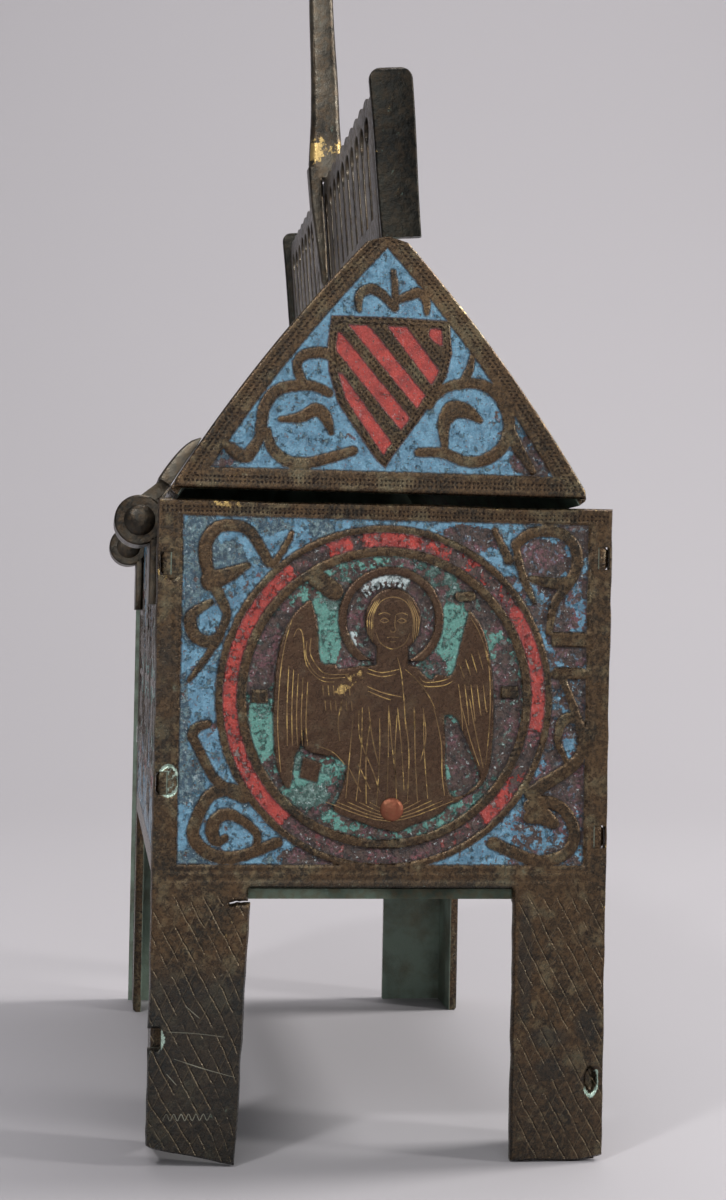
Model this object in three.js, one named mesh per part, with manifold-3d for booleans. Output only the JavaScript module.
// Reliquary casket of patinated gilt copper with champleve enamel: a box of copper plates on four
// corner legs under a hinged gable lid with a pierced crest and a finial.
// Millimetres, +Z up. X runs along the casket and Y across it. The hinges are on the +Y side.
// The origin is under the middle of the whole casket, on the ground.
import * as THREE from 'three';
import { mergeVertices } from 'three/addons/utils/BufferGeometryUtils.js';
import Module from 'manifold-3d';

const wasm = await Module();
wasm.setup();

// Box
const boxLength = 180; // over the outer faces of the two end plates
const boxWidth = 92; // across an end plate
const boxTop = 131; // top edges of the four walls
const sheet = 2.2; // thickness of every wall, gable and roof plate
const endLip = 1; // how far an end plate stands past the long plates
const endLeg = 19.5; // width of a leg on an end plate
const sideLeg = 20; // width of a leg on a long plate
const apronBottom = 54.6; // lower edge of the walls between the legs
const floorThickness = 2;
const floorGap = 0.4; // open joint between the floor and the walls above it
const joint = 0.3; // clearance of pieces that meet
const footChamfer = 3.4; // worn lower corner of the leg at the hinge side of the left end

// Tenons of the long plates, which pass through slots in the end plates
const tenonHeight = 4.4;
const backTenons = [75, 118];
const frontTenons = [65, 121];
const legSlot = { height: 16.6, width: 2.2, length: 5, inset: 3.4 };
const legNotch = { height: 25.4, width: 3, length: 3.6 };

// Enamelled fields, sunk between reserved metal
const fieldDepth = 0.3;
const fieldBorder = 5.3; // plain metal at the sides of an end field
const fieldBottom = 59.2;
const fieldTop = 127.6;
const ribbon = 2.2; // width of the reserved scrolls
const roundelRise = 92.3; // height of the centre of the end roundel
const roundelOuter = 33.8;
const roundelBandOuter = 32.3;
const roundelBandInner = 29.2;
const roundelInner = 27.6;
const endCurl = 7; // outer radius of the corner scrolls of an end plate
const endCurlReach = 31.5; // from the middle of the end plate to a corner scroll
const endCurlRise = 26.3; // above and below the roundel's centre
const curlStroke = 2.2;
const longBorder = 7;
const longRoundels = 3;
const longRoundel = 24;
const roofBorder = 6;
const roofRoundels = 3;
const roofRoundel = 19.5;

// Half figure of a winged angel in the end roundel, measured from the roundel's centre
const haloRadius = 10.3;
const haloBand = 1.7;
const haloRise = 14.2;
const headWidth = 11;
const headHeight = 12.6;
const shoulderRise = 6.5;
const shoulderWidth = 21;
const hemWidth = 25;
const wingWidth = 9;
const wingLength = 38;
const wingReach = 17.2;

// Rivet in the left end plate, a little below the figure
const rivetHead = 4.8;
const rivetShank = 3.2;
const rivetCrown = 0.6;
const rivetAcross = 1.6;
const rivetRise = 70.2;

// Lid
const lidLength = 178; // over the outer faces of the gables
const lidShift = 1.1; // the lid sits a little towards the hinges
const lidBottom = 133; // leaves the open gap that shows above the box
const lidHalfWidth = 42.3;
const ridgeTop = 184.4;
const ridgeFall = 1.2; // from the ridge top down to its shoulders
const ridgeHalfWidth = 4.2;
const roofBow = 1.6; // outward bow of the roof between eaves and ridge
const roofSteps = 3;
const gableBorder = 4.2;
const shieldWidth = 23.5;
const shieldTop = 167.8;
const shieldPoint = 138.4;
const gableCurl = 7.7;
const gableCurlReach = 18;
const gableCurlRise = 147;

// Crest with a row of keyholes, leaning a little towards the hinges
const crestThickness = 2;
const crestClearance = 0.5; // each side, in the slit along the ridge
const crestTop = 215;
const crestTongue = 2.4; // depth of the crest's foot in the ridge slit
const crestLean = 4.9; // degrees
const keyholePitch = 8;
const keyholeRound = 5.5;
const keyholeDrop = 4; // from the crest's top to a keyhole's top
const keyholeSlot = 2.6;
const keyholeLength = 21;
const scallopRise = 1.1;
const stripWidth = 9.2;
const stripThickness = 2;
const stripTop = 219;
const stripRound = 2.2;
const stripShift = -2.4; // the end strips stand off centre, towards the front

// Finial, which straddles the crest
const finialWidth = 8.7;
const finialNeck = 6;
const finialDepth = 5.2;
const finialHeight = 45;
const finialLean = 2.8; // degrees
const finialTail = 27; // the long prong behind the crest
const finialProng = 8; // the short prong in front of it
const prongRise = 3; // how far the prongs run up into the stem
const prongThickness = 3.2;
const prongShoulder = 9; // full thickness down from the top of a prong
const prongTip = 1.6;
const knobDiameter = 11;
const knobCollar = 7.6;
const knobSeat = 2;

// Hinges
const hingeAxisRise = 127.1;
const hingeAxisOut = 3.9; // from the outer face of the back plate to the pin's axis
const barrelRadius = 5.1;
const barrelLength = 18;
const hingeOffset = 67; // from the middle of the casket to the middle of a hinge
const pinRadius = 2;
const pinClearance = 0.25;
const knuckleGap = 0.35;
const pinHeadRadius = 3.2;
const pinHeadRise = 1.3;
const leafThickness = 1.7;
const leafDrop = 17; // from the pin's axis to the leaf's lower edge
const strapReach = 11; // how far the strap runs up the roof
const strapThickness = 2.8;
const notchGap = 0.4;

// Places that follow from the sizes above
const endInner = boxLength / 2 - sheet;
const longOuter = boxWidth / 2 - endLip;
const longInner = longOuter - sheet;
const longHalf = endInner - joint;
const hingeAxisY = longOuter + hingeAxisOut;
const rearReach = Math.max(hingeAxisY + barrelRadius, boxWidth / 2);
const frameShift = (rearReach - boxWidth / 2) / 2;
const roofHalf = lidLength / 2 - sheet - joint;

// Facets of round outlines, by how large they are
const largeSides = 18;
const mediumSides = 11;
const smallSides = 6;
const curveSteps = 4;
const barrelSides = 14;
const latheSides = 12;

const copper = new THREE.MeshStandardMaterial({ color: 0x5c4330, roughness: 0.45, metalness: 0.85 });
const darkCopper = new THREE.MeshStandardMaterial({ color: 0x3c342a, roughness: 0.4, metalness: 0.85 });
const enamelled = new THREE.MeshStandardMaterial({ color: 0x5a7384, roughness: 0.5, metalness: 0.35 });

function toSolid(geometry) {
  const bare = geometry.index ? geometry.toNonIndexed() : geometry.clone();
  bare.deleteAttribute('normal');
  bare.deleteAttribute('uv');
  const merged = mergeVertices(bare, 1e-4);
  return new wasm.Manifold(new wasm.Mesh({
    numProp: 3,
    vertProperties: new Float32Array(merged.attributes.position.array),
    triVerts: new Uint32Array(merged.index.array),
  }));
}

function toGeometry(solid) {
  const mesh = solid.getMesh();
  const geometry = new THREE.BufferGeometry();
  geometry.setAttribute('position', new THREE.BufferAttribute(new Float32Array(mesh.vertProperties), 3));
  geometry.setIndex(new THREE.BufferAttribute(new Uint32Array(mesh.triVerts), 1));
  return geometry;
}

function union(solids) {
  return solids.reduce((all, solid) => all.add(solid));
}

// A flat shape given thickness, from low to high along the outward direction
function slab(shape, low, high) {
  const geometry = new THREE.ExtrudeGeometry(shape, {
    depth: high - low, bevelEnabled: false, curveSegments: curveSteps,
  });
  return toSolid(geometry.translate(0, 0, low));
}

function polygon(points) {
  return new THREE.Shape(points.map(([u, v]) => new THREE.Vector2(u, v)));
}

function rectangle(u0, v0, u1, v1) {
  return polygon([[u0, v0], [u1, v0], [u1, v1], [u0, v1]]);
}

function ellipse(u, v, halfWidth, halfHeight, turn = 0, sides = mediumSides) {
  const points = [];
  for (let side = 0; side < sides; side += 1) {
    const angle = (2 * Math.PI * side) / sides;
    const x = halfWidth * Math.cos(angle);
    const y = halfHeight * Math.sin(angle);
    points.push([
      u + x * Math.cos(turn) - y * Math.sin(turn),
      v + x * Math.sin(turn) + y * Math.cos(turn),
    ]);
  }
  return polygon(points);
}

function ring(u, v, outer, inner, sides = mediumSides) {
  const shape = ellipse(u, v, outer, outer, 0, sides);
  shape.holes.push(ellipse(u, v, inner, inner, 0, sides));
  return shape;
}

// Cuts a field into a plate's outer face and leaves the listed shapes standing in it
function sink(plate, field, reserved) {
  const low = -fieldDepth;
  const high = 1;
  const standing = union(reserved.map((shape) => slab(shape, low - 1, high + 1)));
  return plate.subtract(slab(field, low, high).subtract(standing));
}

// Sets a mesh so that its own X, Y and Z run along u, v and outward from the origin given
function place(mesh, origin, u, v) {
  const out = new THREE.Vector3().crossVectors(u, v);
  mesh.quaternion.setFromRotationMatrix(new THREE.Matrix4().makeBasis(u, v, out));
  mesh.position.copy(origin);
  return mesh;
}

function piece(name, solid, material) {
  const mesh = new THREE.Mesh(toGeometry(solid), material);
  mesh.name = name;
  return mesh;
}

const along = new THREE.Vector3(1, 0, 0);
const across = new THREE.Vector3(0, 1, 0);
const rise = new THREE.Vector3(0, 0, 1);
const back = (vector) => vector.clone().negate();

// Outline of a wall with a leg at each side and an apron between them
function wallOutline(half, leg, leftChamfer) {
  const points = [[half, 0], [half, boxTop], [-half, boxTop]];
  if (leftChamfer > 0) {
    points.push([-half, leftChamfer], [-half + leg * 0.45, leftChamfer * 0.45]);
  } else {
    points.push([-half, 0]);
  }
  points.push([-half + leg, 0], [-half + leg, apronBottom], [half - leg, apronBottom], [half - leg, 0]);
  return polygon(points);
}

// A scroll closed to a ring, with a leaf curling into it
function curl(u, v, radius, turn) {
  const leafU = u + 0.25 * radius * Math.cos(turn);
  const leafV = v + 0.25 * radius * Math.sin(turn);
  return [
    ring(u, v, radius, radius - curlStroke),
    ellipse(leafU, leafV, 0.42 * radius, 0.2 * radius, turn, smallSides),
  ];
}

function angel(v) {
  const torso = new THREE.Shape();
  torso.moveTo(-shoulderWidth / 2, v + shoulderRise - 6);
  torso.quadraticCurveTo(-shoulderWidth / 3, v + shoulderRise, 0, v + shoulderRise);
  torso.quadraticCurveTo(shoulderWidth / 3, v + shoulderRise, shoulderWidth / 2, v + shoulderRise - 6);
  torso.lineTo(hemWidth / 2, v - roundelInner);
  torso.lineTo(-hemWidth / 2, v - roundelInner);
  const wings = [-1, 1].map((side) => ellipse(side * wingReach, v, wingWidth / 2, wingLength / 2));
  const arms = ellipse(0, v - 1, wingReach, 5);
  return [
    ring(0, v + haloRise, haloRadius, haloRadius - haloBand),
    ellipse(0, v + haloRise, headWidth / 2, headHeight / 2),
    rectangle(-headWidth / 5, v, headWidth / 5, v + haloRise),
    torso,
    arms,
    ...wings,
  ];
}

function endDesign() {
  const corners = [];
  for (const side of [-1, 1]) {
    for (const level of [-1, 1]) {
      const turn = Math.atan2(level, side) + Math.PI / 2;
      corners.push(...curl(side * endCurlReach, roundelRise + level * endCurlRise, endCurl, turn));
    }
  }
  return [
    ring(0, roundelRise, roundelOuter, roundelBandOuter, largeSides),
    ring(0, roundelRise, roundelBandInner, roundelInner, largeSides),
    ...angel(roundelRise),
    ...corners,
  ];
}

// End plates. The left one is the plate that shows, with its worn foot, slots and rivet.
function endPlate(left) {
  const half = boxWidth / 2;
  const fieldHalf = half - fieldBorder;
  const towardsBack = left ? -1 : 1;
  let plate = slab(wallOutline(half, endLeg, left ? footChamfer : 0), -sheet, 0);
  plate = sink(plate, rectangle(-fieldHalf, fieldBottom, fieldHalf, fieldTop), endDesign());
  const slots = [];
  const tenonMiddle = longOuter - sheet / 2;
  const slotHalf = sheet / 2 + joint;
  for (const [side, heights] of [[towardsBack, backTenons], [-towardsBack, frontTenons]]) {
    for (const height of heights) {
      const middle = side * tenonMiddle;
      const reach = tenonHeight / 2 + joint;
      slots.push(rectangle(middle - slotHalf, height - reach, middle + slotHalf, height + reach));
    }
  }
  if (left) {
    const slotU = half - legSlot.inset;
    slots.push(ellipse(slotU, legSlot.height, legSlot.width / 2, legSlot.length / 2));
    const notchLow = legNotch.height - legNotch.length / 2;
    const notchHigh = legNotch.height + legNotch.length / 2;
    slots.push(rectangle(-half - 1, notchLow, -half + legNotch.width, notchHigh));
    slots.push(ellipse(rivetAcross, rivetRise, rivetShank / 2 + joint, rivetShank / 2 + joint));
  }
  return plate.subtract(union(slots.map((shape) => slab(shape, -sheet - 1, 1))));
}

function endRivet() {
  const top = rivetCrown;
  const profile = [
    [0, -sheet], [rivetShank / 2, -sheet], [rivetShank / 2, joint / 3],
    [rivetHead / 2, joint / 3], [rivetHead / 3, top * 0.8], [0, top],
  ];
  const lathe = new THREE.LatheGeometry(profile.map(([r, y]) => new THREE.Vector2(r, y)), latheSides);
  return toSolid(lathe.rotateX(Math.PI / 2));
}

// A row of equal roundels with a four-petalled rosette in each
function roundelRow(halfLength, middle, count, radius) {
  const shapes = [];
  const pitch = (2 * halfLength) / count;
  for (let index = 0; index < count; index += 1) {
    const u = -halfLength + pitch * (index + 0.5);
    shapes.push(ring(u, middle, radius, radius - ribbon, largeSides));
    for (const turn of [0, 1, 2, 3]) {
      const angle = (turn * Math.PI) / 2 + Math.PI / 4;
      const reach = radius * 0.42;
      const petalU = u + reach * Math.cos(angle);
      const petalV = middle + reach * Math.sin(angle);
      shapes.push(ellipse(petalU, petalV, radius * 0.34, radius * 0.16, angle, smallSides));
    }
  }
  return shapes;
}

// Long plates, between the end plates, with tenons through them
function longPlate(tenons, notched) {
  let plate = slab(wallOutline(longHalf, sideLeg - sheet - joint, 0), -sheet, 0);
  const fieldHalf = longHalf - longBorder;
  const middle = (fieldBottom + fieldTop) / 2;
  const field = rectangle(-fieldHalf, fieldBottom, fieldHalf, fieldTop);
  const design = roundelRow(fieldHalf, middle, longRoundels, longRoundel);
  if (notched) {
    for (const side of [-1, 1]) {
      const u = side * hingeOffset;
      const reach = barrelLength / 2 + notchGap + 1.5;
      const low = hingeAxisRise - leafDrop - 1.5;
      design.push(rectangle(u - reach, low, u + reach, boxTop));
    }
  }
  plate = sink(plate, field, design);
  for (const height of tenons) {
    const low = height - tenonHeight / 2;
    const high = height + tenonHeight / 2;
    plate = plate.add(slab(rectangle(longHalf - 2, low, boxLength / 2, high), -sheet, 0));
    plate = plate.add(slab(rectangle(-boxLength / 2, low, 2 - longHalf, high), -sheet, 0));
  }
  if (notched) {
    for (const side of [-1, 1]) {
      const u = side * hingeOffset;
      const reach = barrelLength / 2 + pinHeadRise + notchGap;
      const low = hingeAxisRise - barrelRadius - notchGap;
      plate = plate.subtract(slab(rectangle(u - reach, low, u + reach, boxTop + 1), -sheet - 1, 1));
    }
  }
  return plate;
}

function floorPlate() {
  const top = apronBottom - floorGap;
  const halfLength = endInner - joint;
  const halfWidth = longInner - joint;
  return slab(rectangle(-halfLength, -halfWidth, halfLength, halfWidth), top - floorThickness, top);
}

// Outer line of the roof from an eave to the ridge's shoulder: distance out, height
function roofLine(inset = 0) {
  const start = new THREE.Vector2(lidHalfWidth, lidBottom);
  const end = new THREE.Vector2(ridgeHalfWidth, ridgeTop - ridgeFall);
  const chord = end.clone().sub(start);
  const normal = new THREE.Vector2(chord.y, -chord.x).normalize();
  const points = [];
  for (let step = 0; step <= roofSteps; step += 1) {
    const t = step / roofSteps;
    const bow = 4 * roofBow * t * (1 - t) - inset;
    points.push(start.clone().addScaledVector(chord, t).addScaledVector(normal, bow));
  }
  return points;
}

// Point on the roof's outer line at a height
function roofOut(height) {
  const line = roofLine();
  for (let step = 0; step < roofSteps; step += 1) {
    const low = line[step];
    const high = line[step + 1];
    if (height <= high.y || step === roofSteps - 1) {
      return low.x + ((high.x - low.x) * (height - low.y)) / (high.y - low.y);
    }
  }
  return ridgeHalfWidth;
}

function shield() {
  const half = shieldWidth / 2;
  const shape = new THREE.Shape();
  const waist = shieldTop - (shieldTop - shieldPoint) * 0.45;
  shape.moveTo(-half, shieldTop);
  shape.lineTo(-half, waist);
  shape.quadraticCurveTo(-half * 0.8, shieldPoint + 8, 0, shieldPoint);
  shape.quadraticCurveTo(half * 0.8, shieldPoint + 8, half, waist);
  shape.lineTo(half, shieldTop);
  return shape;
}

function gable() {
  const line = roofLine();
  const right = line.map((point) => [point.x, point.y]);
  const left = right.map(([u, v]) => [-u, v]).reverse();
  const eaveCut = 1.6;
  right[0] = [lidHalfWidth - eaveCut / 2, lidBottom];
  left[left.length - 1] = [eaveCut / 2 - lidHalfWidth, lidBottom];
  right.splice(1, 0, [lidHalfWidth, lidBottom + eaveCut]);
  left.splice(left.length - 1, 0, [-lidHalfWidth, lidBottom + eaveCut]);
  const plate = slab(polygon([...right, [0, ridgeTop], ...left]), -sheet, 0);
  const inner = roofLine(gableBorder).filter((point) => point.x > 2);
  const low = lidBottom + gableBorder;
  const sides = inner.filter((point) => point.y > low + 1).map((point) => [point.x, point.y]);
  const foot = roofOut(low) - gableBorder * 1.3;
  const mirrored = sides.map(([u, v]) => [-u, v]).reverse();
  const field = polygon([[foot, low], ...sides, ...mirrored, [-foot, low]]);
  const curls = [-1, 1].flatMap((side) => (
    curl(side * gableCurlReach, gableCurlRise, gableCurl, side > 0 ? 2.6 : 0.5)
  ));
  const bloom = [
    rectangle(-0.8, shieldTop - 1, 0.8, shieldTop + 11),
    ellipse(-4, shieldTop + 4.5, 3.6, 1.2, 0.5, smallSides),
    ellipse(4, shieldTop + 4.5, 3.6, 1.2, -0.5, smallSides),
  ];
  return sink(plate, field, [shield(), ...curls, ...bloom]);
}

// Roof plates, bowed like the gables. The slit at the ridge takes the crest's foot.
function roofPlate(side) {
  const outer = roofLine().map((point) => [side * point.x, point.y]);
  const inner = roofLine(sheet).map((point) => [side * point.x, point.y]);
  const slit = crestThickness / 2 + crestClearance;
  const top = ridgeTop - joint;
  const section = polygon([
    ...outer, [side * slit, top], [side * slit, top - sheet], ...inner.reverse(),
  ]);
  const plate = new THREE.ExtrudeGeometry(section, { depth: 2 * roofHalf, bevelEnabled: false });
  plate.translate(0, 0, -roofHalf);
  return { plate: toSolid(plate), sink: roofFields(side) };
}

// The roundels of a roof plate, cut along the roof's outward direction and no deeper than a field
function roofFields(side) {
  const line = roofLine();
  const strips = [];
  const fieldHalf = roofHalf - roofBorder;
  for (let step = 0; step < roofSteps; step += 1) {
    const a = line[step];
    const b = line[step + 1];
    const chord = b.clone().sub(a);
    const normal = new THREE.Vector2(chord.y, -chord.x).normalize();
    const low = step === 0 ? 0.42 : -0.02;
    const high = step === roofSteps - 1 ? 0.58 : 1.02;
    const from = a.clone().addScaledVector(chord, low);
    const to = a.clone().addScaledVector(chord, high);
    const section = polygon([
      [side * (from.x - normal.x * fieldDepth), from.y - normal.y * fieldDepth],
      [side * (from.x + normal.x), from.y + normal.y],
      [side * (to.x + normal.x), to.y + normal.y],
      [side * (to.x - normal.x * fieldDepth), to.y - normal.y * fieldDepth],
    ]);
    const strip = new THREE.ExtrudeGeometry(section, { depth: 2 * fieldHalf, bevelEnabled: false });
    strips.push(toSolid(strip.translate(0, 0, -fieldHalf)));
  }
  const field = union(strips);
  const start = line[0];
  const end = line[roofSteps];
  const run = end.clone().sub(start);
  const length = run.length();
  const tilt = Math.atan2(run.y, -run.x);
  const middle = start.clone().add(end).multiplyScalar(0.5);
  const shapes = roundelRow(fieldHalf, 0, roofRoundels, roofRoundel);
  const cutters = shapes.map((shape) => {
    const geometry = new THREE.ExtrudeGeometry(shape, {
      depth: length / 4, bevelEnabled: false,
    });
    geometry.translate(0, 0, -length / 8);
    const u = new THREE.Vector3(0, 0, 1);
    const v = new THREE.Vector3(-side * Math.cos(tilt), Math.sin(tilt), 0);
    const out = new THREE.Vector3().crossVectors(u, v);
    const turn = new THREE.Matrix4().makeBasis(u, v, out);
    turn.setPosition(side * middle.x, middle.y, 0);
    return toSolid(geometry.applyMatrix4(turn));
  });
  return field.subtract(union(cutters));
}

// Crest plate in its own frame: u along the ridge, v up from the ridge, before it leans
function crestPlate() {
  const half = roofHalf - stripThickness - joint;
  const height = crestTop - ridgeTop;
  const count = Math.floor((2 * half - keyholePitch) / keyholePitch);
  const start = -((count - 1) * keyholePitch) / 2;
  const outline = new THREE.Shape();
  outline.moveTo(-half, -crestTongue);
  outline.lineTo(half, -crestTongue);
  outline.lineTo(half, height - scallopRise);
  for (let index = count - 1; index >= 0; index -= 1) {
    const u = start + index * keyholePitch;
    outline.lineTo(u + keyholePitch / 2, height - scallopRise);
    outline.lineTo(u, height);
  }
  outline.lineTo(start - keyholePitch / 2, height - scallopRise);
  outline.lineTo(-half, height - scallopRise);
  for (let index = 0; index < count; index += 1) {
    outline.holes.push(keyhole(start + index * keyholePitch, height - keyholeDrop));
  }
  return slab(outline, -crestThickness / 2, crestThickness / 2);
}

// A round eye over a straight slot
function keyhole(u, top) {
  const radius = keyholeRound / 2;
  const opening = Math.asin(keyholeSlot / keyholeRound);
  const path = new THREE.Path();
  const bottom = top - keyholeLength;
  const points = [[u + keyholeSlot / 2, bottom]];
  const arcSteps = 5;
  for (let step = 0; step <= arcSteps; step += 1) {
    const sweep = -Math.PI / 2 + opening + ((2 * Math.PI - 2 * opening) * step) / arcSteps;
    points.push([u + radius * Math.cos(sweep), top - radius + radius * Math.sin(sweep)]);
  }
  points.push([u - keyholeSlot / 2, bottom]);
  path.setFromPoints(points.map(([x, y]) => new THREE.Vector2(x, y)));
  return path;
}

function crestStrip() {
  const half = stripWidth / 2;
  const height = stripTop - ridgeTop;
  const cut = stripRound;
  return slab(polygon([
    [-half, joint], [half, joint], [half, height - cut], [half - cut * 0.3, height - cut * 0.3],
    [half - cut, height], [cut - half, height], [cut * 0.3 - half, height - cut * 0.3], [-half, height - cut],
  ]), -stripThickness / 2, stripThickness / 2);
}

// Finial stem: eight-sided, tapering, with a long prong behind the crest and a short one before it
function finialStem() {
  const sides = 8;
  const profile = [
    [0, 0], [0.5, 0], [0.5, 4], [0.42, 14], [finialNeck / finialWidth / 2, finialHeight], [0, finialHeight],
  ];
  const lathe = new THREE.LatheGeometry(
    profile.map(([r, y]) => new THREE.Vector2(r / Math.cos(Math.PI / sides), y)), sides, Math.PI / sides);
  lathe.rotateX(Math.PI / 2);
  lathe.scale(finialDepth, finialWidth, 1);
  return toSolid(lathe);
}

// Prongs in the crest's own leaning frame: u along the ridge, v up, out towards the front
function finialProngs() {
  const top = crestTop - ridgeTop + prongRise;
  const near = crestThickness / 2 + joint;
  const prong = (length, side) => {
    const low = top - length - prongRise;
    const section = polygon([
      [side * near, low], [side * near, top], [side * (near + prongThickness), top],
      [side * (near + prongThickness), top - prongShoulder], [side * (near + prongTip), low],
    ]);
    const half = finialDepth / 2;
    const geometry = new THREE.ExtrudeGeometry(section, { depth: 2 * half, bevelEnabled: false });
    return toSolid(geometry.translate(0, 0, -half));
  };
  return prong(finialTail, 1).add(prong(finialProng, -1));
}

function finialKnob() {
  const radius = knobDiameter / 2;
  const points = [[0, 0], [knobCollar / 2, 0], [knobCollar / 2, knobSeat], [knobCollar / 2.4, knobSeat + 0.4]];
  const steps = 6;
  const centre = knobSeat + radius * 0.85;
  for (let step = 1; step <= steps; step += 1) {
    const angle = -Math.PI / 3.4 + ((Math.PI / 2 + Math.PI / 3.4) * step) / (steps + 0.001);
    points.push([Math.max(radius * Math.cos(angle), 0), centre + radius * Math.sin(angle)]);
  }
  points[points.length - 1][0] = 0;
  const lathe = new THREE.LatheGeometry(points.map(([r, y]) => new THREE.Vector2(r, y)), latheSides);
  return toSolid(lathe.rotateX(Math.PI / 2));
}

// A cylinder along X
function barrel(radius, from, to) {
  const geometry = new THREE.CylinderGeometry(radius, radius, to - from, barrelSides);
  geometry.rotateZ(Math.PI / 2);
  return toSolid(geometry.translate((from + to) / 2, 0, 0));
}

// Extrudes a section drawn in (Y, Z) along X
function alongX(points, from, to) {
  const geometry = new THREE.ExtrudeGeometry(polygon(points), { depth: to - from, bevelEnabled: false });
  geometry.applyMatrix4(new THREE.Matrix4().makeBasis(across, rise, along));
  return toSolid(geometry.translate(from, 0, 0));
}

const knuckle = (barrelLength - 2 * knuckleGap) / 3;
const middleKnuckle = knuckle / 2;
const outerKnuckle = middleKnuckle + knuckleGap;

// Leaf on the back plate with two outer knuckles. Y and Z are measured from the pin's axis.
function hingeLeaf() {
  const half = barrelLength / 2;
  const inner = joint / 3 - hingeAxisOut;
  const leafTop = -Math.sqrt(barrelRadius ** 2 - (inner + leafThickness) ** 2) + 0.6;
  const plate = alongX([
    [inner, -leafDrop], [inner + leafThickness, -leafDrop], [inner + leafThickness, leafTop], [inner, leafTop],
  ], -half, half);
  const knuckles = union([-1, 1].map((side) => (
    side < 0 ? barrel(barrelRadius, -half, -outerKnuckle) : barrel(barrelRadius, outerKnuckle, half)
  )));
  const relief = barrel(barrelRadius + knuckleGap, -outerKnuckle, outerKnuckle);
  const bore = barrel(pinRadius + pinClearance, -half - 1, half + 1);
  return plate.subtract(relief).add(knuckles).subtract(bore);
}

// Strap on the roof with the middle knuckle. Y and Z are measured from the pin's axis.
function hingeStrap() {
  const roofPoint = (height, lift) => {
    const slope = roofOut(height + 1) - roofOut(height);
    const normal = new THREE.Vector2(1, -slope).normalize();
    return [
      lidShift + roofOut(height) + normal.x * lift - hingeAxisY,
      height + normal.y * lift - hingeAxisRise,
    ];
  };
  const steps = 5;
  const under = [];
  const over = [];
  for (let step = 0; step <= steps; step += 1) {
    const t = step / steps;
    const height = lidBottom + 1.2 + t * (strapReach - 1.2);
    const dome = strapThickness * Math.sqrt(Math.max(1 - t ** 2.4, 0.02));
    under.push(roofPoint(height, joint));
    over.push(roofPoint(height, joint + dome));
  }
  const half = barrelLength / 2;
  const strap = alongX([...under.reverse(), ...over], -half, half);
  const foot = [over[0], [over[0][0] + 1.6, over[0][1] - 1.4], [0.5, barrelRadius - 0.4]];
  const arm = alongX([
    ...foot, [-3, barrelRadius - 2.4], under[under.length - 1],
    [over[1][0] - 1, over[1][1] - 0.4],
  ].reverse(), -middleKnuckle, middleKnuckle);
  const body = barrel(barrelRadius, -middleKnuckle, middleKnuckle);
  const bore = barrel(pinRadius + pinClearance, -half - 1, half + 1);
  return strap.add(arm).add(body).subtract(bore);
}

function hingePin() {
  const half = barrelLength / 2;
  const gap = joint / 2;
  const profile = [
    [0, -half - gap - pinHeadRise], [pinHeadRadius * 0.7, -half - gap - pinHeadRise * 0.7],
    [pinHeadRadius, -half - gap], [pinRadius, -half - gap], [pinRadius, half + gap],
    [pinHeadRadius, half + gap], [pinHeadRadius * 0.7, half + gap + pinHeadRise * 0.7],
    [0, half + gap + pinHeadRise],
  ];
  const lathe = new THREE.LatheGeometry(profile.map(([r, y]) => new THREE.Vector2(r, y)), latheSides);
  return toSolid(lathe.rotateZ(-Math.PI / 2));
}

const casket = new THREE.Group();
casket.position.set(rivetCrown / 2, -frameShift, 0);

function buildBox() {
  const box = new THREE.Group();
  const halfLength = boxLength / 2;
  box.add(place(piece('left_end_plate', endPlate(true), enamelled),
    new THREE.Vector3(-halfLength, 0, 0), back(across), rise));
  box.add(place(piece('right_end_plate', endPlate(false), enamelled),
    new THREE.Vector3(halfLength, 0, 0), across, rise));
  box.add(place(piece('left_end_rivet', endRivet(), copper),
    new THREE.Vector3(-halfLength, -rivetAcross, rivetRise), back(across), rise));
  box.add(place(piece('front_plate', longPlate(frontTenons, false), enamelled),
    new THREE.Vector3(0, -longOuter, 0), along, rise));
  box.add(place(piece('back_plate', longPlate(backTenons, true), enamelled),
    new THREE.Vector3(0, longOuter, 0), back(along), rise));
  box.add(piece('floor_plate', floorPlate(), copper));
  return box;
}

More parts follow.
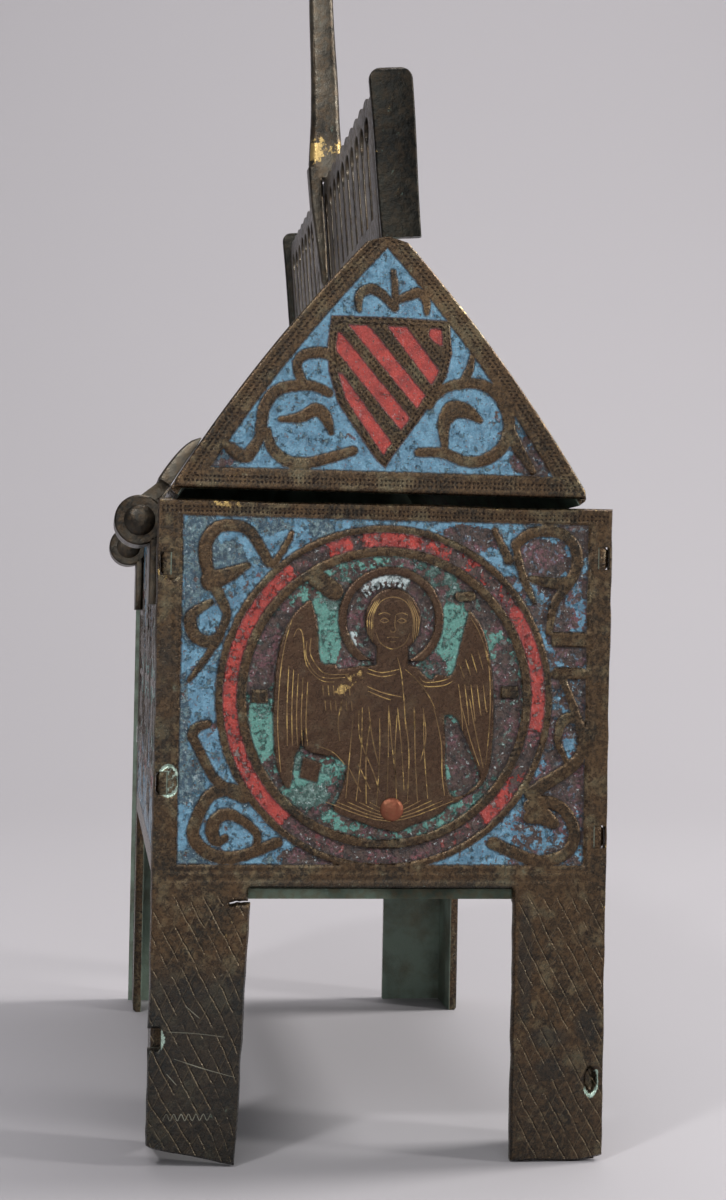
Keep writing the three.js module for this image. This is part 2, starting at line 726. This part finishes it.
function buildLid() {
  const lid = new THREE.Group();
  lid.position.y = lidShift;
  lid.add(place(piece('left_gable', gable(), enamelled),
    new THREE.Vector3(-lidLength / 2, 0, 0), back(across), rise));
  lid.add(place(piece('right_gable', gable(), enamelled),
    new THREE.Vector3(lidLength / 2, 0, 0), across, rise));
  for (const [name, side] of [['front_roof_plate', -1], ['back_roof_plate', 1]]) {
    const { plate, sink: field } = roofPlate(side);
    const mesh = piece(name, plate.subtract(field), enamelled);
    lid.add(place(mesh, new THREE.Vector3(), across, rise));
  }
  const crest = new THREE.Group();
  crest.position.z = ridgeTop;
  crest.rotation.x = -THREE.MathUtils.degToRad(crestLean);
  crest.add(place(piece('crest', crestPlate(), darkCopper), new THREE.Vector3(), along, rise));
  for (const [name, side] of [['left_crest_strip', -1], ['right_crest_strip', 1]]) {
    const x = side * (roofHalf - stripThickness / 2);
    crest.add(place(piece(name, crestStrip(), darkCopper),
      new THREE.Vector3(x, stripShift, 0), across, rise));
  }
  lid.add(crest);
  lid.add(buildFinial(crest));
  return lid;
}

function buildFinial(crest) {
  const finial = new THREE.Group();
  const lean = THREE.MathUtils.degToRad(crestLean);
  const up = crestTop - ridgeTop + joint;
  const seat = new THREE.Vector3(0, Math.sin(lean) * up, ridgeTop + Math.cos(lean) * up);
  const stemTurn = new THREE.Matrix4().makeRotationX(-THREE.MathUtils.degToRad(finialLean));
  stemTurn.setPosition(seat);
  const prongs = toGeometry(finialProngs());
  prongs.applyMatrix4(new THREE.Matrix4().makeBasis(across, rise, along));
  prongs.applyMatrix4(new THREE.Matrix4().makeRotationX(-lean));
  prongs.translate(0, 0, ridgeTop);
  const stem = toGeometry(finialStem()).applyMatrix4(stemTurn);
  const body = toSolid(stem).add(toSolid(prongs));
  finial.add(piece('finial_stem', body, darkCopper));
  const knob = piece('finial_knob', finialKnob(), darkCopper);
  const stemUp = new THREE.Vector3(0, 0, finialHeight + joint).applyMatrix4(stemTurn);
  knob.position.copy(stemUp);
  knob.rotation.x = -THREE.MathUtils.degToRad(finialLean);
  finial.add(knob);
  return finial;
}

function buildHinges() {
  const hinges = new THREE.Group();
  for (const [name, side] of [['left', -1], ['right', 1]]) {
    const hinge = new THREE.Group();
    hinge.position.set(side * hingeOffset, hingeAxisY, hingeAxisRise);
    hinge.add(piece(`${name}_hinge_leaf`, hingeLeaf(), darkCopper));
    hinge.add(piece(`${name}_hinge_strap`, hingeStrap(), darkCopper));
    hinge.add(piece(`${name}_hinge_pin`, hingePin(), copper));
    hinges.add(hinge);
  }
  return hinges;
}

casket.add(buildBox());
casket.add(buildLid());
casket.add(buildHinges());

export default casket;
